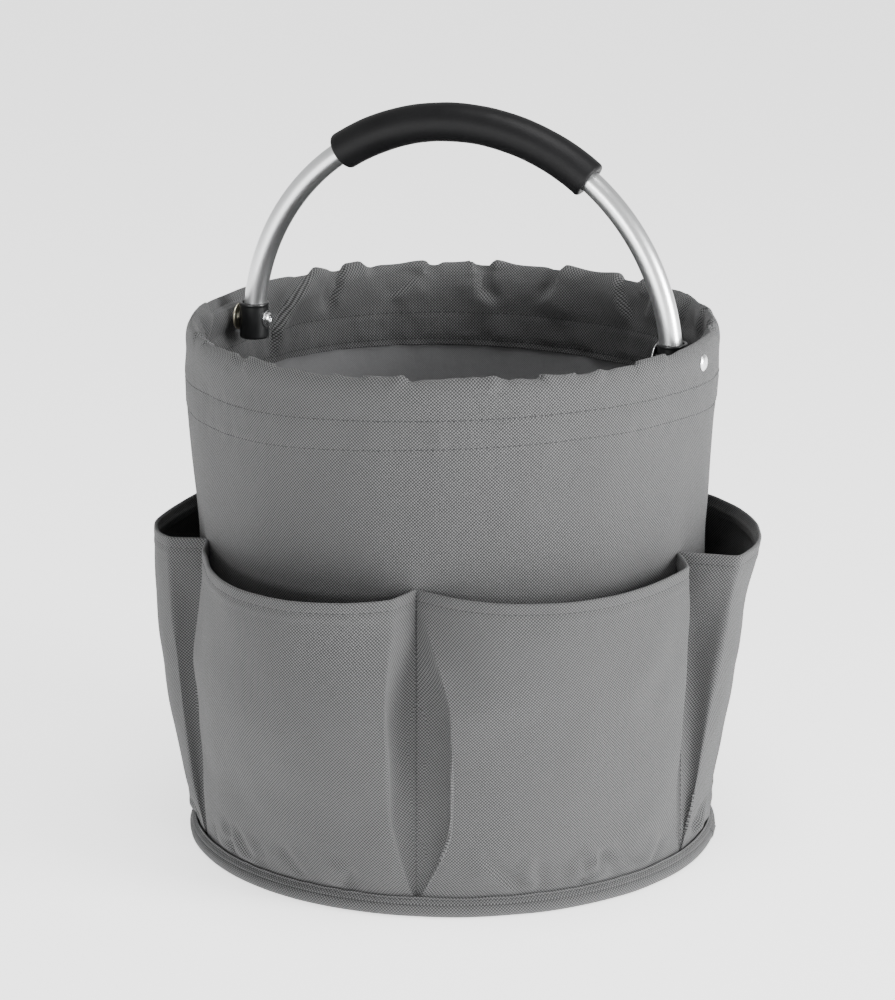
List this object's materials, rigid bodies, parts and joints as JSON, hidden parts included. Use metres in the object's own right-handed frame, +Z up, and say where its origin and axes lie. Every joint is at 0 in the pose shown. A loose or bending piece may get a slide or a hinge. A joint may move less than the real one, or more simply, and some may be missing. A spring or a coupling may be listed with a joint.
{
  "type": "cleaning caddy",
  "caption": "Round open-topped fabric caddy with bowed outside pockets, a piped foot and a folding aluminium bail handle with a foam grip.",
  "frame": {"origin": "centre of the base on the floor, on the axis of the round basket", "axes": "+Z up; +X along the handle's pivot axis to its right-hand end; -Y is the front"},
  "size_m": [0.3755, 0.3791, 0.4665],
  "materials": {
    "woven_cloth": "matte",
    "lining_cloth": "matte",
    "stiff_sheet": "matte",
    "aluminium": "satin",
    "chrome": "gloss",
    "brass": "satin",
    "black_plastic": "satin",
    "black_foam": "matte"
  },
  "bodies": {
    "basket": {"outer_shell": "woven_cloth", "base_panel": "woven_cloth", "base_piping": "woven_cloth", "base_tape": "woven_cloth", "pocket_front": "woven_cloth", "pocket_front_right": "woven_cloth", "pocket_right": "woven_cloth", "pocket_rear": "woven_cloth", "pocket_rear_left": "woven_cloth", "pocket_left": "woven_cloth", "lining_wall": "lining_cloth", "lining_floor": "lining_cloth", "wall_stiffener": "stiff_sheet", "base_board": "stiff_sheet", "piping_cord": "stiff_sheet", "rim_hoop": "aluminium", "hoop_joiner": "aluminium", "hoop_rivet_left": "aluminium", "hoop_rivet_right": "aluminium", "left_pivot_screw": "chrome", "left_head_washer": "chrome", "left_barrel_nut": "chrome", "right_pivot_screw": "chrome", "right_head_washer": "chrome", "right_barrel_nut": "chrome", "left_cup_washer": "brass", "right_cup_washer": "brass"},
    "handle": {"handle_tube": "aluminium", "foam_grip": "black_foam", "left_end_sleeve": "black_plastic", "right_end_sleeve": "black_plastic"}
  },
  "joints": [
    {"name": "handle_fold", "type": "hinge", "parent": "basket", "child": "handle", "pos_m": [0, 0, 0.3196], "axis": [1, 0, 0], "range_deg": [-90, 90]}
  ]
}
